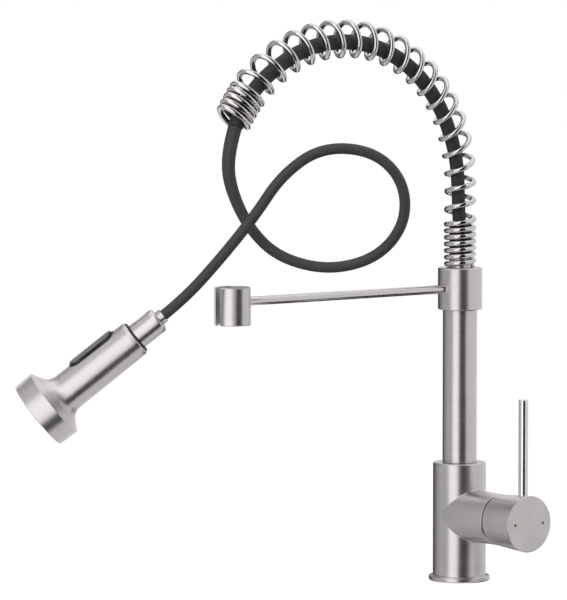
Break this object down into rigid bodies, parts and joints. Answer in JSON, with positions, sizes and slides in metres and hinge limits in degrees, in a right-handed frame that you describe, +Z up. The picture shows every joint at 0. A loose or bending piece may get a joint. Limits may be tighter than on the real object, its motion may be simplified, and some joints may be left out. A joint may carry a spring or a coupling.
{
  "type": "pull-out kitchen faucet",
  "caption": "Single-lever kitchen faucet with a spring arch, docking arm, looped hose and pull-out spray head.",
  "frame": {"origin": "centre of the deck flange's underside, on the deck", "axes": "+Z up the column, the arm and arch reach towards -Y over the sink, the handle points towards +X"},
  "size_m": [0.1871, 0.419, 0.4608],
  "materials": {
    "brushed": "brushed round the turned parts",
    "polished": "polished steel wire and nut",
    "brass": "turned, unplated inner metal",
    "rubber": "moulded",
    "black_plastic": "moulded, matt",
    "white_plastic": "moulded bearing plastic",
    "grey_plastic": "satin moulded grey",
    "hose_black": "sheathed hose, satin",
    "red": "filled dot",
    "blue": "filled dot"
  },
  "bodies": {
    "mixer": {"deck_flange": "brushed", "base_seal": "rubber", "inlet_block": "brass", "mixer_body": "brushed", "spout_lock_screw": "polished", "cartridge": "white_plastic", "cartridge_seals": "rubber", "cartridge_nut": "brass", "dust_ring": "black_plastic", "glide_washer": "black_plastic"},
    "handle_carrier": {"stem_carrier": "brass", "tilt_pin": "polished"},
    "handle": {"handle_cap": "brushed", "lever": "polished", "lever_set_screw": "polished", "drive_finger": "brass", "hot_dot": "red", "cold_dot": "blue"},
    "spout": {"column_spigot": "brass", "spout_guide_rings": "white_plastic", "spout_o_rings": "rubber", "column_tube": "brushed", "column_neck": "brass", "spring_seat": "brushed", "spring": "polished", "spring_hose": "hose_black", "hose_tail_fitting": "brass", "free_hose": "hose_black", "hose_ferrule": "polished", "collar_washer": "white_plastic"},
    "arm": {"arm_collar": "brushed", "collar_liner": "white_plastic", "arm_rod": "brushed", "arm_grub_screw": "polished", "docking_ring": "brushed", "ring_liner": "black_plastic"},
    "spray_head": {"swivel_nut": "polished", "filter_washer": "rubber", "grip_gasket": "rubber", "inlet_connector": "brass", "check_valve": "white_plastic", "grip_shell": "brushed", "button_surround": "black_plastic", "button_pin": "polished", "diverter_core": "white_plastic", "flow_distributor": "white_plastic", "nozzle_mat": "rubber", "face_plate": "black_plastic", "aerator": "grey_plastic"},
    "spray_button": {"spray_button": "grey_plastic"},
    "diverter_plunger": {"diverter_plunger": "black_plastic"}
  },
  "joints": [
    {"name": "spout_swivel", "type": "hinge", "parent": "mixer", "child": "spout", "pos_m": [0, 0, 0.097], "axis": [0, 0, 1], "continuous": true},
    {"name": "arm_swivel", "type": "hinge", "parent": "spout", "child": "arm", "pos_m": [0, 0, 0.2395], "axis": [0, 0, 1], "continuous": true},
    {"name": "temperature_turn", "type": "hinge", "parent": "mixer", "child": "handle_carrier", "pos_m": [0.05, 0, 0.0545], "axis": [1, 0, 0], "range_deg": [-50, 50]},
    {"name": "flow_tilt", "type": "hinge", "parent": "handle_carrier", "child": "handle", "pos_m": [0.064, 0, 0.04], "axis": [0, 1, 0], "range_deg": [0, 18]},
    {"name": "spray_swivel", "type": "hinge", "parent": "spout", "child": "spray_head", "pos_m": [-0.01143, -0.30066, 0.22532], "axis": [-0.4748, -0.6198, -0.6248], "continuous": true},
    {"name": "button_rock", "type": "hinge", "parent": "spray_head", "child": "spray_button", "pos_m": [-0.03831, -0.33794, 0.20319], "axis": [-0.8325, 0.5466, 0.0905], "range_deg": [-5, 5]},
    {"name": "plunger_slide", "type": "slide", "parent": "spray_head", "child": "diverter_plunger", "axis": [-0.2854, -0.5631, 0.7755], "range_m": [-0.0011, 0.0011]}
  ],
  "couplings": [
    {"joint": "plunger_slide", "follows": "button_rock", "m_per_rad": 0.0123}
  ]
}
